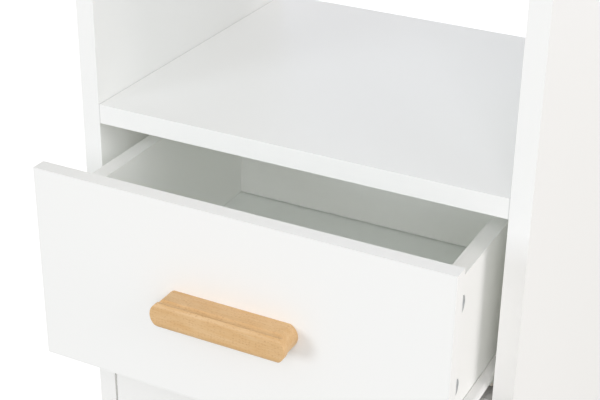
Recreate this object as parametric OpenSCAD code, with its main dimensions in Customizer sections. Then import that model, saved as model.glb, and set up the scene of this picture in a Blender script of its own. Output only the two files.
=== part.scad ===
// Bathroom storage tower: a narrow free-standing cabinet with a cupboard below, a drawer on
// roller slides, an open niche with no back, and a second cupboard above. The fronts are inset,
// flush with the side panels' front edges. It is drawn with the drawer part open.
// Millimetres, +Z up, front towards -Y. The origin is on the floor, midway between the sides and
// midway between the front of the drawn-out pull and the back.

/* [Carcass] */
// Clear width between the two side panels
inner_w = 320; // [300:5:400]
// Depth of the side panels and cross boards, front to back
depth = 290; // [285:5:340]
// Thickness of the carcass boards and the doors
board = 15; // [15:1:18]
// Thickness of the hardboard backs and the drawer floor
sheet = 3; // [2.5:0.5:4]
// Height of the plinth, between the glides and the bottom panel
plinth_h = 55; // [40:5:90]
// How far the plinth stands back from the front
plinth_setback = 30; // [10:5:60]
// Clear height of the lower cupboard
lower_clear = 600; // [480:10:680]
// Clear height of the drawer bay, between its divider and the open shelf
bay_clear = 155; // [150:1:180]
// Clear height of the open niche
niche_clear = 330; // [180:10:400]
// Clear height of the upper cupboard
upper_clear = 420; // [340:10:500]
// Gap round the doors, and beside and under the drawer front
gap = 2; // [2:0.1:2.5]
// Gap between the drawer front and the open shelf above it
top_gap = 0.5; // [0.5:0.5:2]

/* [Drawer] */
// How far the drawer is drawn out as shown
drawer_out = 84; // [0:1:185]
// Thickness of the drawer's front, sides and back
drawer_board = 12; // [12:1:14]
// Length of the drawer box, which is also the length of the slides
box_len = 250; // [240:5:260]
// Clearance between a side panel and the drawer's side, filled by the slide
slide_gap = 13.3; // [13:0.1:14]
// How far the drawer's sides stop below the open shelf's top
side_drop = 40; // [30:1:50]
// How far the drawer floor's top lies below the open shelf's top
floor_drop = 140; // [130:0.5:140]
// Distance from the drawer front to the centre of each cam lock behind it
drawer_cam_back = 30; // [24:1:34]

/* [Pulls] */
// Length of a beech pull
pull_len = 103.4; // [80:0.2:140]
// Height of a beech pull
pull_h = 20.4; // [18:0.2:26]
// How far a pull stands out
pull_out = 21.6; // [18:0.2:26]
// Distance between a pull's two screws
pull_screws = 64; // [32:32:64]
// Distance from a door's free edge to its pull's centre line
pull_inset = 35; // [25:1:60]
// Distance from a door's end to its pull's centre
pull_from_end = 110; // [80:5:160]

/* [Hinges] */
// Length of each butt hinge
hinge_len = 50; // [40:5:60]
// Distance from a door's end to the centre of each hinge
hinge_from_end = 110; // [70:5:120]

/* [Hidden] */
$fn = 48;

// Board levels: the height of each cross board's underside
glide_h = 5;
bottom_z = glide_h + plinth_h;
divider_z = bottom_z + board + lower_clear;
shelf_z = divider_z + board + bay_clear;
floor_z = shelf_z + board + niche_clear;
top_z = floor_z + board + upper_clear;
total_h = top_z + board;
shelf_top = shelf_z + board;
half_w = inner_w / 2;

// The pan-head screw that the backs, brackets, catches and rails share
small_screw_r = 1.5;
small_head_r = 3;
small_head_h = 1.4;
small_screw_in = 10;

// Front and back of the boards, with the origin in the middle of the overall depth
reach = pull_out + drawer_out + depth + sheet + small_head_h;
front_y = pull_out + drawer_out - reach / 2;
back_y = front_y + depth;

// Cutters run this far past a face, and blind bores this far past what they take
over = 1;
spare = 0.5;
// Room between two bodies that move past each other
clearance = 0.3;
// Cross boards: underside, and whether the cams are let into the top face instead of the underside
CROSS_BOARDS = [
    [bottom_z, false], [divider_z, false], [shelf_z, false], [floor_z, true], [top_z, false]
];

// Cam fittings and dowels that join the cross boards to the side panels
cam_r = 7.4;
cam_back = 34;
cam_deep = 12;
bolt_r = 2.8;
thread_r = 2.4;
thread_len = 11;
dowel_r = 3.95;
dowel_len = 30;
dowel_in_panel = 10;
bolt_short = 1.5;
bolt_bore_r = bolt_r + 0.7;
drawer_bolt_bore_r = bolt_r + 0.4;
cam_recess = 0.2;
play = 0.1;
CAM_YS = [front_y + 37, back_y - 37];
DOWEL_YS = [front_y + 69, back_y - 69];

// Adjustable shelves on pins
pin_r = 2.45;
pin_hole_deep = 9;
pin_rows = 5;
pin_pitch = 32;
pin_tongue = 9;
pin_tongue_w = 10;
PIN_YS = [front_y + 60, back_y - 60];
lower_pin_z = bottom_z + board + lower_clear / 2;
upper_pin_z = floor_z + board + upper_clear / 2;
shelf_depth = depth - 35;
shelf_play = 1;
shelf_back = 2;

// Backs, brackets and catches
back_edge = 2;
back_lap = 1;
LOWER_BACK_ZS = spread(bottom_z + 40, shelf_z - 20, 5);
UPPER_BACK_ZS = spread(floor_z + 25, top_z - 15, 3);
bracket_x = 100;
bracket_w = 20;
bracket_leg = 30;
bracket_t = 1.5;
bracket_hole_r = 2.75;
bracket_hole_drop = 18;
catch_x = 118;
catch_w = 42;
catch_h = 12;
catch_d = 18;
catch_screw_edge = 5;
catch_seat = 3;
magnet_w = 21.6;
magnet_h = 5.6;
magnet_d = 11.8;
magnet_drop = 3.2;
strike_w = 30;
strike_t = 1.2;
contact_gap = 0.4;
catch_y = front_y + board + strike_t + contact_gap;
CATCH_ZS = [divider_z, top_z];
glide_r = 7;
glide_nail_r = 1.4;
glide_nail_len = 12;
GLIDE_YS = [front_y + 20, back_y - 20];

// Drawer box, placed as shown
drawer_y = front_y - drawer_out;
box_y = drawer_y + drawer_board;
box_end = box_y + box_len;
front_lo = divider_z + board + gap;
front_hi = shelf_z - top_gap;
side_top = shelf_top - side_drop;
floor_top = shelf_top - floor_drop;
side_out = half_w - slide_gap;
side_in = side_out - drawer_board;
side_mid = side_out - drawer_board / 2;
groove = 5;
groove_play = 0.2;
DRAWER_CAM_ZS = [side_top - 22, side_top - 87];
drawer_cam_deep = 10;
drawer_thread = 9;
back_screw_r = 1.8;
back_screw_head_r = 3.6;
back_screw_len = 35;
back_sink = 2;
BACK_SCREW_ZS = [side_top - 24, side_top - 79];

// Roller slides, measured from a side panel's face towards the drawer
steel = 1.2;
track_z = floor_top - 6;
side_bottom = track_z - 17.5;
rail_y = front_y + drawer_board + 2;
rail_end = rail_y + box_len;
rail_lo = divider_z + board + 0.5;
rail_hi = track_z - 1.5;
rail_screw_in = 12;
rail_sink_r = 2.7;
rail_foot = 10.2;
rail_hook = 3.2;
track_out = 4.6;
web_drop = 3;
lip_h = 3.5;
bend_r = 3;
upper_bend_r = 1.6;
foot_in = 10;
axle_r = 2.5;
collar_r = 4;
collar_t = 0.5;
running = 0.05;
// Rollers: radius, and the near and far face's distance from the side panel
roller_edge = 1;
front_roller_r = 7;
FRONT_ROLLER_FACES = [6.4, 10.8];
front_roller_y = rail_y + 10;
front_roller_z = track_z - steel - clearance - front_roller_r;
roller_headroom = 0.5;
rear_roller_r = (rail_hi - roller_headroom - rail_lo - clearance) / 2 - steel;
REAR_ROLLER_FACES = [2.3, 10];
rear_roller_y = box_end - 9;
rear_roller_z = rail_lo + steel + clearance + rear_roller_r;
track_end = rear_roller_y - rear_roller_r - 4;
RAIL_SCREW_YS = [rail_y + 35, rail_y + 125, rail_end - 22];
FOOT_SCREW_YS = [box_y + 30, box_y + 125, box_end - 40];

// Screws of the pulls
pull_screw_r = 1.85;
pull_screw_in = 12;
pull_head_r = 4;
pull_head_h = 2.4;
pull_bore_r = 2.2;

// Butt hinges on the left, with their barrels just in front of the fronts
leaf_t = (gap - 0.2) / 2;
hinge_x = -half_w + gap / 2;
barrel_r = 2.4;
barrel_gap = 0.2;
hinge_y = front_y - barrel_r - barrel_gap;
hinge_pin_r = 1.2;
pin_head_r = 2;
pin_head_h = 0.9;
leaf_end = front_y + 12;
knuckles = 5;
knuckle_gap = clearance;
hinge_screw_y = front_y + 7;
hinge_screw_r = 1.2;
hinge_head_r = 2;
hinge_screw_len = 11;
HINGE_SCREW_ZS = [-16, 0, 16];
lower_lo = bottom_z + board + gap;
lower_hi = divider_z - gap;
upper_lo = floor_z + board + gap;
upper_hi = top_z - gap;

white = [0.95, 0.95, 0.94];
beech = [0.87, 0.72, 0.53];
zinc = [0.66, 0.67, 0.68];
nickel = [0.75, 0.74, 0.71];
nylon = [0.90, 0.90, 0.88];

// ---- Shapes used more than once ----

// Evenly spaced places from lo to hi
function spread(lo, hi, count) = [for (i = [0:count - 1]) lo + i * (hi - lo) / (count - 1)];

// A box between two opposite corners
module block(lo, hi) translate(lo) cube(hi - lo);

// A round rod along X, Y or Z between two ends; p holds the other two coordinates
module rod_x(r, x0, x1, p) translate([x0, p[0], p[1]]) rotate([0, 90, 0]) cylinder(r = r, h = x1 - x0);
module rod_y(r, y0, y1, p) translate([p[0], y1, p[1]]) rotate([90, 0, 0]) cylinder(r = r, h = y1 - y0);
module rod_z(r, z0, z1, p) translate([p[0], p[1], z0]) cylinder(r = r, h = z1 - z0);

// Shapes drawn for the right side, mirrored for the left where side is -1
module on_side(side) mirror([side < 0 ? 1 : 0, 0, 0]) children();
module both_sides() for (side = [-1, 1]) on_side(side) children();

// A screw along +Z from the origin, its head below and seated at z = 0
module pan_screw(r, len, head_r, head_h) {
    cylinder(r = r, h = len);
    slot_half = head_r * 0.55;
    slot_w = 0.7;
    slot_deep = head_h * 0.45;
    translate([0, 0, -head_h]) difference() {
        cylinder(r = head_r, h = head_h);
        for (turn = [0, 90]) rotate([0, 0, turn])
            block([-slot_half, -slot_w / 2, -over], [slot_half, slot_w / 2, slot_deep]);
    }
}

// The smaller pan-head screw that most fittings share, seated in the same way
module small_screw(len) pan_screw(small_screw_r, len, small_head_r, small_head_h);

// A countersunk screw along +Z, its head flush with z = 0 and sunk_h deep
module sunk_screw(r, len, head_r, sunk_h) {
    slot_half = head_r * 0.6;
    slot_w = 0.5;
    difference() {
        union() {
            cylinder(r = r, h = len);
            cylinder(r1 = head_r, r2 = r, h = sunk_h);
        }
        block([-slot_half, -slot_w / 2, -over], [slot_half, slot_w / 2, sunk_h / 2]);
    }
}

// A cam lock's housing along +Z from its open face, with the pocket that takes the bolt's head
module cam(h, bolt_at) {
    slot_half = cam_r * 0.6;
    slot_w = 1.2;
    slot_deep = 2;
    pocket_r = bolt_r + 0.5;
    difference() {
        cylinder(r = cam_r, h = h);
        translate([0, 0, bolt_at]) rotate([0, 90, 0]) cylinder(r = pocket_r, h = cam_r + over);
        for (turn = [45, 135]) rotate([0, 0, turn])
            block([-slot_half, -slot_w / 2, -over], [slot_half, slot_w / 2, slot_deep]);
    }
}

// A block along Z with round ends, lying along X, of the given length and radius
module round_ended(len, r, lo, hi) {
    straight = len / 2 - r;
    block([-straight, -r, lo], [straight, r, hi]);
    for (end = [-1, 1]) rod_z(r, lo, hi, [end * straight, 0]);
}

// Section of a pull's nose: height along X, distance from the front it is screwed to along Y
module nose_section(lo) {
    r = pull_h / 2;
    nose_r = 4.2;
    translate([-r, lo]) square([2 * r, pull_out - nose_r - lo]);
    translate([nose_r - r, lo]) square([2 * (r - nose_r), pull_out - lo]);
    for (side = [-1, 1]) translate([side * (r - nose_r), pull_out - nose_r]) circle(r = nose_r);
}

// A beech pull along X, standing out towards -Y from its back at y = 0: a neck, a slightly higher
// nose rounded along both long sides, and a cove between them that runs out at the round ends
module pull() {
    neck_half = 9.1;
    neck_short = 1.1;
    neck_out = 16.6;
    cove_r = 4;
    cove_floor = 7.9;
    color(beech) difference() {
        rotate([90, 0, 0]) {
            intersection() {
                round_ended(pull_len - 2 * neck_short, pull_h / 2, 0, neck_out);
                block([-pull_len, -neck_half, -over], [pull_len, neck_half, neck_out + over]);
            }
            intersection() {
                round_ended(pull_len, pull_h / 2, neck_out, pull_out + over);
                translate([-pull_len / 2 - over, 0, 0]) rotate([90, 0, 90])
                    linear_extrude(height = pull_len + 2 * over) nose_section(neck_out - over);
            }
        }
        for (side = [-1, 1]) {
            rod_y(pull_screw_r + running, -pull_screw_in - over, over, [side * pull_screws / 2, 0]);
            rod_x(cove_r, -pull_len / 2, pull_len / 2, [-neck_out, side * (cove_floor + cove_r)]);
        }
    }
}

// The pull's two screws, which come through a front of the given thickness
module pull_screw_pair(front_t) {
    color(zinc) for (side = [-1, 1]) translate([side * pull_screws / 2, front_t, 0])
        rotate([90, 0, 0]) pan_screw(pull_screw_r, front_t + pull_screw_in, pull_head_r, pull_head_h);
}
module pull_bores(front_t) {
    for (side = [-1, 1]) rod_y(pull_bore_r, -over, front_t + over, [side * pull_screws / 2, 0]);
}

// ---- Carcass ----

// Bores in the right side panel's inner face
module panel_bores() {
    for (level = CROSS_BOARDS) {
        mid = level[0] + board / 2;
        for (y = CAM_YS) rod_x(thread_r + play, half_w - over, half_w + thread_len + spare, [y, mid]);
        for (y = DOWEL_YS) panel_dowel_bore([y, mid]);
    }
    panel_dowel_bore(plinth_dowel());
    for (z0 = [lower_pin_z, upper_pin_z], row = [0:pin_rows - 1], y = PIN_YS)
        rod_x(pin_r + running, half_w - over, half_w + pin_hole_deep,
            [y, z0 + (row - (pin_rows - 1) / 2) * pin_pitch]);
    for (y = RAIL_SCREW_YS)
        rod_x(small_screw_r, half_w - over, half_w + rail_screw_in - spare, [y, rail_screw_z()]);
    for (z = concat(LOWER_BACK_ZS, UPPER_BACK_ZS))
        rod_y(small_screw_r, back_y - small_screw_in - spare, back_y + over, [half_w + board / 2, z]);
    for (y = GLIDE_YS)
        rod_z(glide_nail_r + play, glide_h - over, glide_h + glide_nail_len + over, [half_w + board / 2, y]);
}
module panel_dowel_bore(spot)
    rod_x(dowel_r + play / 2, half_w - over, half_w + dowel_in_panel + spare, spot);

// The dowel bore in the end of the board that spans to the right panel
module board_dowel_bore(spot)
    rod_x(dowel_r + play / 2, half_w - dowel_len + dowel_in_panel - spare, half_w + over, spot);

function plinth_dowel() = [front_y + plinth_setback + board / 2, glide_h + plinth_h / 2];
function rail_screw_z() = (rail_lo + rail_hi) / 2;

module side_panel(side) {
    color(white) difference() {
        on_side(side) difference() {
            block([half_w, front_y, glide_h], [half_w + board, back_y, total_h]);
            panel_bores();
        }
        if (side < 0) for (z = hinge_zs()) translate([-half_w, hinge_screw_y, z])
            for (dz = HINGE_SCREW_ZS) rod_x(hinge_screw_r, -hinge_screw_len, over, [0, dz]);
    }
}

// Bores in both ends of a cross board whose underside is at z = 0
module end_bores(cams_up) {
    cam_face = cams_up ? board - cam_deep : -over;
    both_sides() {
        for (y = CAM_YS) {
            rod_z(cam_r + play, cam_face, cam_face + cam_deep + over, [half_w - cam_back, y]);
            rod_x(bolt_bore_r, half_w - cam_back + cam_r / 2, half_w + over, [y, board / 2]);
        }
        for (y = DOWEL_YS) board_dowel_bore([y, board / 2]);
    }
}

module cross_board(level) {
    color(white) translate([0, 0, level[0]]) difference() {
        block([-half_w, front_y, 0], [half_w, back_y, board]);
        end_bores(level[1]);
    }
}

module bottom_panel() cross_board(CROSS_BOARDS[0]);
module drawer_divider() {
    difference() {
        cross_board(CROSS_BOARDS[1]);
        catch_screw_bores(divider_z);
    }
}
module open_shelf() cross_board(CROSS_BOARDS[2]);
module upper_floor() cross_board(CROSS_BOARDS[3]);
module top_panel() {
    difference() {
        cross_board(CROSS_BOARDS[4]);
        catch_screw_bores(top_z);
        for (side = [-1, 1]) overhead_bore([side * bracket_x, bracket_screw_y()], top_z);
    }
}

function bracket_screw_y() = back_y - bracket_hole_drop;
function catch_screw_xs() = [for (side = [-1, 1]) catch_x + side * (catch_w / 2 - catch_screw_edge)];
function catch_mid_y() = catch_y + catch_d / 2;

// A bore for a small screw up into a board whose underside is at z
module overhead_bore(spot, z) rod_z(small_screw_r, z - over, z + small_screw_in + spare, spot);
module catch_screw_bores(z) {
    for (x = catch_screw_xs()) overhead_bore([x, catch_mid_y()], z);
}

module plinth() {
    color(white) difference() {
        block([-half_w, front_y + plinth_setback, glide_h],
            [half_w, front_y + plinth_setback + board, bottom_z]);
        both_sides() board_dowel_bore(plinth_dowel());
    }
}

// A hardboard back between two heights, screwed to the side panels' rear edges
module back(z0, z1, screw_zs) {
    edge = half_w + board - back_edge;
    color(white) difference() {
        block([-edge, back_y, z0], [edge, back_y + sheet, z1]);
        for (side = [-1, 1], z = screw_zs)
            back_hole(small_screw_r + play, [side * (half_w + board / 2), z]);
    }
}
module back_hole(r, spot) rod_y(r, back_y - over, back_y + sheet + over, spot);
module lower_back() back(bottom_z + back_lap, shelf_top - 3 * back_lap, LOWER_BACK_ZS);
module upper_back() {
    difference() {
        back(floor_z + back_lap, total_h - back_edge, UPPER_BACK_ZS);
        for (side = [-1, 1]) back_hole(bracket_hole_r, [side * bracket_x, top_z - bracket_hole_drop]);
    }
}
module back_screws() {
    color(zinc) for (side = [-1, 1], z = concat(LOWER_BACK_ZS, UPPER_BACK_ZS))
        translate([side * (half_w + board / 2), back_y + sheet, z])
            rotate([90, 0, 0]) small_screw(sheet + small_screw_in);
}

// A loose shelf on four pins whose holes are at height pin_z
module loose_shelf(pin_z) {
    low = pin_z + pin_r;
    edge = half_w - shelf_play;
    rear = back_y - shelf_back;
    color(white) block([-edge, rear - shelf_depth, low], [edge, rear, low + board]);
}
module lower_shelf() loose_shelf(lower_pin_z);
module upper_shelf() loose_shelf(upper_pin_z);
module shelf_pins() {
    color(nylon) both_sides() for (z = [lower_pin_z, upper_pin_z], y = PIN_YS) {
        rod_x(pin_r, half_w - over, half_w + pin_hole_deep - spare, [y, z]);
        block([half_w - pin_tongue, y - pin_tongue_w / 2, z], [half_w, y + pin_tongue_w / 2, z + pin_r]);
    }
}

module floor_glides() {
    color(nylon) both_sides() for (y = GLIDE_YS) {
        rod_z(glide_r, 0, glide_h, [half_w + board / 2, y]);
        rod_z(glide_nail_r, glide_h - over, glide_h + glide_nail_len, [half_w + board / 2, y]);
    }
}

module carcass_cams() {
    color(zinc) both_sides() for (level = CROSS_BOARDS, y = CAM_YS)
        translate([half_w - cam_back, y, level[0] + (level[1] ? board : 0)])
            mirror([0, 0, level[1] ? 1 : 0]) translate([0, 0, cam_recess])
                cam(cam_deep - 2 * cam_recess, board / 2 - cam_recess);
}
module carcass_bolts() {
    color(zinc) both_sides() for (level = CROSS_BOARDS, y = CAM_YS) {
        spot = [y, level[0] + board / 2];
        rod_x(bolt_r, half_w - cam_back + bolt_short, half_w, spot);
        rod_x(thread_r, half_w - over, half_w + thread_len, spot);
    }
}
module carcass_dowels() {
    inner = half_w - dowel_len + dowel_in_panel;
    outer = half_w + dowel_in_panel;
    color(beech) both_sides() {
        for (level = CROSS_BOARDS, y = DOWEL_YS) rod_x(dowel_r, inner, outer, [y, level[0] + board / 2]);
        rod_x(dowel_r, inner, outer, plinth_dowel());
    }
}

// Two angle brackets inside the upper cupboard, for the screws that tie the tower to a wall
module wall_brackets() {
    color(zinc) for (side = [-1, 1]) translate([side * bracket_x, back_y, top_z]) difference() {
        union() {
            block([-bracket_w / 2, -bracket_leg, -bracket_t], [bracket_w / 2, 0, 0]);
            block([-bracket_w / 2, -bracket_t, -bracket_leg], [bracket_w / 2, 0, 0]);
        }
        rod_y(bracket_hole_r, -bracket_t - over, over, [0, -bracket_hole_drop]);
        rod_z(small_screw_r + play, -bracket_t - over, over, [0, -bracket_hole_drop]);
    }
}

// The pan-head screws that hold the brackets and the catches to the boards above them
module fitting_screws() {
    color(zinc) {
        for (side = [-1, 1]) translate([side * bracket_x, bracket_screw_y(), top_z - bracket_t])
            small_screw(bracket_t + small_screw_in);
        for (z = CATCH_ZS, x = catch_screw_xs()) translate([x, catch_mid_y(), z - catch_h + catch_seat])
            small_screw(catch_h - catch_seat + small_screw_in);
    }
}

// Magnetic catches under the boards above the doors
module catch_housings() {
    magnet_proud = 0.6;
    color(white) for (z = CATCH_ZS) difference() {
        block([catch_x - catch_w / 2, catch_y + magnet_proud, z - catch_h],
            [catch_x + catch_w / 2, catch_y + catch_d, z]);
        magnet(z, 0.2);
        for (x = catch_screw_xs()) {
            rod_z(small_screw_r + play, z - catch_h - over, z + over, [x, catch_mid_y()]);
            rod_z(small_head_r + 0.2, z - catch_h - over, z - catch_h + catch_seat, [x, catch_mid_y()]);
        }
    }
}
// A catch's magnet under the board at z, larger all round by room
module magnet(z, room) {
    block([catch_x - magnet_w / 2 - room, catch_y - room, z - magnet_drop - magnet_h - room],
        [catch_x + magnet_w / 2 + room, catch_y + magnet_d + room, z - magnet_drop + room]);
}
module catch_magnets() color(zinc) for (z = CATCH_ZS) magnet(z, 0);

// ---- Roller slides, drawn for the right side ----

module cabinet_rail() {
    color(white) {
        difference() {
            union() {
                block([half_w - steel, rail_y, rail_lo], [half_w, rail_end, rail_hi]);
                block([half_w - rail_foot, rail_y, rail_lo], [half_w, rail_end, rail_lo + steel]);
                block([half_w - rail_hook, rail_y, rail_hi - steel], [half_w, rail_end, rail_hi]);
            }
            for (y = RAIL_SCREW_YS) translate([half_w - steel, y, rail_screw_z()]) rotate([0, 90, 0]) {
                translate([0, 0, -over]) cylinder(r = small_screw_r + play, h = steel + 2 * over);
                cylinder(r1 = rail_sink_r, r2 = small_screw_r + play, h = steel);
            }
        }
        rivet(half_w - FRONT_ROLLER_FACES[1] - clearance - collar_t, half_w - steel / 2,
            FRONT_ROLLER_FACES, [front_roller_y, front_roller_z]);
    }
}
// A roller's rivet from x0 to x1, with a collar on each side of the roller
module rivet(x0, x1, faces, spot) {
    rod_x(axle_r, x0 + 0.1, x1 - 0.1, spot);
    rod_x(collar_r, x0, half_w - faces[1] - clearance, spot);
    rod_x(collar_r, half_w - faces[0] + clearance, x1, spot);
}
module cabinet_rail_screws() {
    color(zinc) both_sides() for (y = RAIL_SCREW_YS)
        translate([half_w - steel, y, rail_screw_z()]) rotate([0, 90, 0])
            sunk_screw(small_screw_r, rail_screw_in, rail_sink_r - play, steel);
}

// The track's section: flat above the rollers, with its outer edge bent down
module bent_track(w) {
    difference() {
        round_corner(w, lip_h, bend_r);
        translate([0, -steel]) round_corner(w - steel, lip_h, bend_r - steel);
    }
}
module round_corner(w, h, r) {
    square([w - r, h]);
    square([w, h - r]);
    intersection() {
        translate([w - r, h - r]) circle(r = r);
        square([w, h]);
    }
}
// What a bend takes off the sharp corner at the origin, whose steel lies towards +X and -Y
module bend_corner(r) {
    difference() {
        translate([-over, -r]) square([r + over, r + over]);
        translate([r, -r]) circle(r = r);
    }
}
module drawer_rail() {
    web = half_w - slide_gap;
    color(white) {
        difference() {
            union() {
                block([web, box_y, side_bottom - steel], [web + steel, box_end, track_z - web_drop]);
                block([web, box_y, track_z - web_drop - over], [web + steel, track_end, track_z]);
                block([web - foot_in, box_y, side_bottom - steel], [web + steel, box_end, side_bottom]);
                translate([web, track_end, track_z - lip_h]) rotate([90, 0, 0])
                    linear_extrude(height = track_end - box_y) bent_track(slide_gap - track_out);
            }
            translate([web, track_end + over, track_z]) rotate([90, 0, 0])
                linear_extrude(height = track_end - box_y + 2 * over) bend_corner(upper_bend_r);
            for (y = FOOT_SCREW_YS)
                rod_z(small_screw_r + play, side_bottom - steel - over, side_bottom + over, [side_mid, y]);
        }
        rivet(web + steel / 2, half_w - REAR_ROLLER_FACES[0] + clearance + collar_t,
            REAR_ROLLER_FACES, [rear_roller_y, rear_roller_z]);
    }
}
module drawer_rail_screws() {
    color(zinc) both_sides() for (y = FOOT_SCREW_YS)
        translate([side_mid, y, side_bottom - steel]) small_screw(steel + small_screw_in);
}

// A nylon roller between its two faces, with chamfered edges and a shallow ring in each face
module roller(r, faces, spot) {
    x0 = half_w - faces[1];
    x1 = half_w - faces[0];
    ring_deep = 0.5;
    ring_edge = 1.6;
    ring_room = 0.4;
    color(nylon) difference() {
        translate([x0, spot[0], spot[1]]) rotate([0, 90, 0]) {
            cylinder(r1 = r - roller_edge, r2 = r, h = roller_edge);
            translate([0, 0, roller_edge]) cylinder(r = r, h = x1 - x0 - 2 * roller_edge);
            translate([0, 0, x1 - x0 - roller_edge]) cylinder(r1 = r, r2 = r - roller_edge, h = roller_edge);
        }
        rod_x(axle_r + running, x0 - over, x1 + over, spot);
        for (x = [x0 - ring_deep, x1 - ring_deep]) difference() {
            rod_x(r - ring_edge, x, x + 2 * ring_deep, spot);
            rod_x(collar_r + ring_room, x - over, x + 2 * over, spot);
        }
    }
}
module front_roller() roller(front_roller_r, FRONT_ROLLER_FACES, [front_roller_y, front_roller_z]);
module rear_roller() roller(rear_roller_r, REAR_ROLLER_FACES, [rear_roller_y, rear_roller_z]);

// ---- Drawer ----

module drawer_front() {
    color(white) difference() {
        block([-half_w + gap, drawer_y, front_lo], [half_w - gap, box_y, front_hi]);
        block([-side_in - groove - clearance, box_y - groove - clearance, floor_top - sheet - groove_play],
            [side_in + groove + clearance, box_y + over, floor_top + groove_play]);
        both_sides() for (z = DRAWER_CAM_ZS)
            rod_y(thread_r + play, box_y - drawer_thread - spare, box_y + over, [side_mid, z]);
        translate([0, drawer_y, pull_z()]) pull_bores(drawer_board);
    }
}
function pull_z() = (front_lo + front_hi) / 2;

// The right side, with its floor groove, cam housings and bores
module drawer_side() {
    color(white) difference() {
        block([side_in, box_y, side_bottom], [side_out, box_end, side_top]);
        block([side_in - over, box_y - over, floor_top - sheet - groove_play],
            [side_in + groove + clearance, box_end + over, floor_top + groove_play]);
        for (z = DRAWER_CAM_ZS) {
            rod_x(cam_r + play, side_out - drawer_cam_deep, side_out + over, [box_y + drawer_cam_back, z]);
            rod_y(drawer_bolt_bore_r, box_y - over, box_y + drawer_cam_back - cam_r / 2, [side_mid, z]);
        }
        for (z = BACK_SCREW_ZS) translate([side_out, box_end - drawer_board / 2, z]) rotate([0, -90, 0]) {
            translate([0, 0, -over]) cylinder(r = back_screw_r + play, h = drawer_board + 2 * over);
            cylinder(r1 = back_screw_head_r + play, r2 = back_screw_r + play, h = back_sink);
        }
        for (y = FOOT_SCREW_YS) overhead_bore([side_mid, y], side_bottom);
    }
}
module drawer_back() {
    lift = 1;
    color(white) difference() {
        block([-side_in, box_end - drawer_board, floor_top + lift], [side_in, box_end, side_top]);
        both_sides() for (z = BACK_SCREW_ZS)
            rod_x(back_screw_r, side_out - back_screw_len - spare, side_in + over,
                [box_end - drawer_board / 2, z]);
    }
}
module drawer_floor() {
    edge = side_in + groove;
    color(white) block([-edge, box_y - groove, floor_top - sheet], [edge, box_end, floor_top]);
}
module drawer_cams() {
    color(zinc) both_sides() for (z = DRAWER_CAM_ZS)
        translate([side_out - cam_recess, box_y + drawer_cam_back, z]) rotate([0, -90, 0])
            rotate([0, 0, -90]) cam(drawer_cam_deep - 2 * cam_recess, drawer_board / 2 - cam_recess);
}
module drawer_bolts() {
    color(zinc) both_sides() for (z = DRAWER_CAM_ZS) {
        rod_y(bolt_r, box_y, box_y + drawer_cam_back - bolt_short, [side_mid, z]);
        rod_y(thread_r, box_y - drawer_thread, box_y + over, [side_mid, z]);
    }
}
module drawer_back_screws() {
    color(zinc) both_sides() for (z = BACK_SCREW_ZS)
        translate([side_out, box_end - drawer_board / 2, z]) rotate([0, -90, 0])
            sunk_screw(back_screw_r, back_screw_len, back_screw_head_r, back_sink);
}
module drawer_pull() translate([0, drawer_y, pull_z()]) pull();
module drawer_pull_screws() translate([0, drawer_y, pull_z()]) pull_screw_pair(drawer_board);

// ---- Doors and their butt hinges ----

function door_hinge_zs(lo, hi) = [lo + hinge_from_end, hi - hinge_from_end];
function hinge_zs() = concat(door_hinge_zs(lower_lo, lower_hi), door_hinge_zs(upper_lo, upper_hi));

// Places a pull or its screws upright on a door's front
module on_door(z) translate([half_w - gap - pull_inset, front_y, z]) rotate([0, 90, 0]) children();

module door(lo, hi, z_pull) {
    color(white) difference() {
        block([-half_w + gap, front_y, lo], [half_w - gap, front_y + board, hi]);
        on_door(z_pull) pull_bores(board);
        for (z = door_hinge_zs(lo, hi), dz = HINGE_SCREW_ZS)
            rod_x(hinge_screw_r, -half_w + gap - over, -half_w + gap + hinge_screw_len,
                [hinge_screw_y, z + dz]);
    }
}

// One leaf with its knuckles round the barrel's axis: first is the lowest knuckle it owns,
// and its plate lies from x0 to x1
module leaf(first, x0, x1) {
    step = hinge_len / knuckles;
    low = -hinge_len / 2;
    difference() {
        union() {
            block([x0, front_y + 0.1, low], [x1, leaf_end, -low]);
            for (i = [first:2:knuckles - 1]) translate([0, 0, low + i * step + knuckle_gap / 2]) {
                rod_z(barrel_r, 0, step - knuckle_gap, [hinge_x, hinge_y]);
                block([x0, hinge_y, 0], [x1, front_y + 0.2, step - knuckle_gap]);
            }
        }
        rod_z(hinge_pin_r + running, low - over, -low + over, [hinge_x, hinge_y]);
    }
}
// A countersink and hole for each leaf screw; toward is the way the screw points along X
module leaf_screw_places(x_face, toward) {
    for (dz = HINGE_SCREW_ZS) translate([x_face, hinge_screw_y, dz]) rotate([0, 90 * toward, 0]) children();
}
module leaf_sinks() {
    translate([0, 0, -over]) cylinder(r = hinge_screw_r, h = leaf_t + 2 * over);
    cylinder(r1 = hinge_head_r + play, r2 = hinge_screw_r, h = leaf_t);
}
module frame_leaves(lo, hi) {
    color(nickel) for (z = door_hinge_zs(lo, hi)) translate([0, 0, z]) difference() {
        leaf(0, -half_w, -half_w + leaf_t);
        leaf_screw_places(-half_w + leaf_t, -1) leaf_sinks();
    }
}
module door_leaves(lo, hi) {
    color(nickel) for (z = door_hinge_zs(lo, hi)) translate([0, 0, z]) difference() {
        leaf(1, -half_w + gap - leaf_t, -half_w + gap);
        leaf_screw_places(-half_w + gap - leaf_t, 1) leaf_sinks();
    }
}
module hinge_pins(lo, hi) {
    color(nickel) for (z = door_hinge_zs(lo, hi)) translate([hinge_x, hinge_y, z]) {
        cylinder(r = hinge_pin_r, h = hinge_len + 2 * clearance, center = true);
        for (end = [-1, 1]) translate([0, 0, end * (hinge_len / 2 + 2 * clearance)])
            cylinder(r = pin_head_r, h = pin_head_h, center = true);
    }
}
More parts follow.
